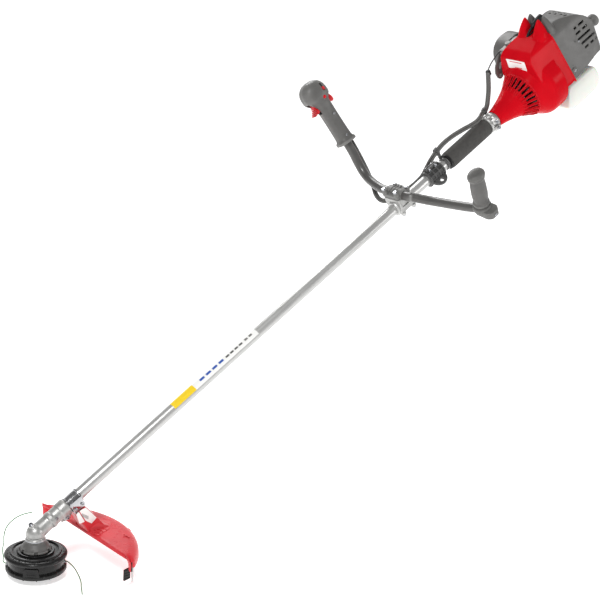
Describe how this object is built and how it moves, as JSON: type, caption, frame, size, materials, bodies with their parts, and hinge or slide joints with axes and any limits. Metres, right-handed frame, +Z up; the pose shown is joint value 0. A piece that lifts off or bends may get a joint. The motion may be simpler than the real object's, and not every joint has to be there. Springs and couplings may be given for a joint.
{
  "type": "string trimmer",
  "caption": "Petrol string trimmer: straight shaft with bicycle handlebar, angled gearbox, line head, guard, harness eye and an enclosed two-stroke engine with tank.",
  "frame": {"origin": "centre of the harness eye on the shaft clamp, the point the machine hangs from in use", "axes": "+Z up in the working pose, +X horizontal from the cutting head towards the engine, +Y the user's right; the shaft slopes 30 degrees up along +X"},
  "size_m": [1.6963, 0.5453, 1.0982],
  "materials": {
    "cast_alloy": "as cast, satin",
    "tube_silver": "satin anodised",
    "bright_steel": "machined",
    "bracket_chrome": "bright plated",
    "fan_alloy": "as cast",
    "red_plastic": "gloss",
    "red_control": "satin",
    "grey_plastic": "fine texture",
    "grey_rubber": "soft touch",
    "dark_plastic": "fine texture",
    "black_plastic": "satin",
    "black_rubber": "satin",
    "bar_paint": "satin paint",
    "foam": "closed cell foam",
    "nylon_line": "translucent nylon",
    "rope": "braided cord",
    "tank_plastic": "translucent"
  },
  "bodies": {
    "root": {"gearbox_case": "cast_alloy", "ball_bearings": "bright_steel", "shaft_tube": "tube_silver", "shaft_bushes": "black_plastic", "guard_bracket": "bracket_chrome", "guard": "red_plastic", "line_cutter": "bright_steel", "cutter_holder": "black_plastic", "handlebar": "bar_paint", "clamp_base": "cast_alloy", "clamp_saddle": "dark_plastic", "left_grip": "grey_rubber", "throttle_housing_left": "grey_plastic", "throttle_housing_right": "grey_plastic", "throttle_conduit": "grey_rubber", "conduit_clips": "black_plastic", "harness_clamp": "dark_plastic", "foam_grip": "foam", "shaft_screws": "bright_steel", "engine_collar": "cast_alloy", "crankcase": "cast_alloy", "engine_cylinder": "cast_alloy", "piston": "bright_steel", "connecting_rod": "bright_steel", "spark_plug": "bright_steel", "plug_boot": "black_rubber", "muffler": "bright_steel", "carburettor": "cast_alloy", "air_filter_cover": "grey_plastic", "starter_housing": "dark_plastic", "front_cover": "red_plastic", "cylinder_shroud": "grey_plastic", "fuel_tank": "tank_plastic"},
    "cutting_head": {"output_spindle": "bright_steel", "bevel_gear": "bright_steel", "head_cone": "grey_plastic", "head_housing": "black_plastic", "head_cover": "black_plastic", "spool_spring": "bright_steel", "cutting_line_a": "nylon_line", "cutting_line_b": "nylon_line"},
    "spool": {"spool": "dark_plastic", "line_winding": "nylon_line", "tap_knob": "black_plastic"},
    "drive_train": {"drive_shaft": "bright_steel", "bevel_pinion": "bright_steel", "clutch_drum": "bright_steel"},
    "crank": {"crankshaft": "bright_steel", "flywheel_fan": "fan_alloy"},
    "clutch_shoe_a": {"clutch_shoe_a": "bright_steel"},
    "clutch_shoe_b": {"clutch_shoe_b": "bright_steel"},
    "throttle_trigger": {"throttle_trigger": "red_control"},
    "lockout_lever": {"lockout_lever": "red_control"},
    "latch_button": {"latch_button": "red_control"},
    "stop_switch": {"stop_switch": "dark_plastic"},
    "carb_lever": {"carb_lever": "grey_plastic"},
    "starter_pulley": {"starter_pulley": "black_plastic"},
    "starter_handle": {"starter_handle": "grey_plastic", "starter_rope": "rope"},
    "fuel_cap": {"fuel_cap": "black_plastic"}
  },
  "joints": [
    {"name": "head_spin", "type": "hinge", "parent": "root", "child": "cutting_head", "pos_m": [-1.11595, 0.02447, -0.63112], "axis": [0, 0, 1], "continuous": true},
    {"name": "tap_press", "type": "slide", "parent": "cutting_head", "child": "spool", "axis": [0, 0, 1], "range_m": [0, 0.006], "stiffness_N_per_m": 900, "springref_m": -0.006, "deforming": ["spool_spring"]},
    {"name": "drive_spin", "type": "hinge", "parent": "root", "child": "drive_train", "pos_m": [-1.11595, 0.02447, -0.63112], "axis": [0.866, 0, 0.5], "continuous": true},
    {"name": "crank_spin", "type": "hinge", "parent": "root", "child": "crank", "pos_m": [0.16577, 0.02447, 0.10888], "axis": [0.866, 0, 0.5], "continuous": true},
    {"name": "shoe_a_swing", "type": "hinge", "parent": "crank", "child": "clutch_shoe_a", "pos_m": [0.26865, 0.04347, 0.17868], "axis": [-0.866, 0, -0.5], "range_deg": [0, 1.2], "stiffness_Nm_per_rad": 3, "springref_deg": -2.86},
    {"name": "shoe_b_swing", "type": "hinge", "parent": "crank", "child": "clutch_shoe_b", "pos_m": [0.27765, 0.00547, 0.16309], "axis": [-0.866, 0, -0.5], "range_deg": [0, 1.2], "stiffness_Nm_per_rad": 3, "springref_deg": -2.86},
    {"name": "trigger_squeeze", "type": "hinge", "parent": "root", "child": "throttle_trigger", "pos_m": [-0.19834, 0.24883, 0.17663], "axis": [-0.1743, -0.9205, 0.3497], "range_deg": [0, 14], "stiffness_Nm_per_rad": 0.4, "springref_deg": -11.46},
    {"name": "lockout_press", "type": "hinge", "parent": "root", "child": "lockout_lever", "pos_m": [-0.18093, 0.24844, 0.18429], "axis": [0.1743, 0.9205, -0.3497], "range_deg": [0, 11], "stiffness_Nm_per_rad": 0.3, "springref_deg": -11.46},
    {"name": "latch_press", "type": "slide", "parent": "root", "child": "latch_button", "axis": [0.1743, 0.9205, -0.3497], "range_m": [0, 0.003], "stiffness_N_per_m": 300, "springref_m": -0.003},
    {"name": "stop_slide", "type": "slide", "parent": "root", "child": "stop_switch", "axis": [-0.4107, 0.3907, 0.8238], "range_m": [0, 0.008]},
    {"name": "carb_throttle", "type": "hinge", "parent": "root", "child": "carb_lever", "pos_m": [0.27792, 0.08447, 0.27063], "axis": [0, 1, 0], "range_deg": [0, 43]},
    {"name": "starter_pull", "type": "slide", "parent": "root", "child": "starter_handle", "axis": [0.866, 0, 0.5], "range_m": [0, 0.6], "stiffness_N_per_m": 12, "springref_m": -0.3, "deforming": ["starter_rope"]},
    {"name": "pulley_spin", "type": "hinge", "parent": "root", "child": "starter_pulley", "pos_m": [0.45156, 0.02447, 0.27388], "axis": [0.866, 0, 0.5], "continuous": true},
    {"name": "fuel_cap_turn", "type": "hinge", "parent": "root", "child": "fuel_cap", "pos_m": [0.44652, 0.08277, 0.1786], "axis": [0, 1, 0], "continuous": true}
  ],
  "couplings": [
    {"joint": "drive_spin", "follows": "head_spin", "ratio": 1.3571},
    {"joint": "shoe_b_swing", "follows": "shoe_a_swing", "ratio": 1},
    {"joint": "carb_throttle", "follows": "trigger_squeeze", "ratio": 3},
    {"joint": "pulley_spin", "follows": "starter_pull", "rad_per_m": -38.462}
  ]
}
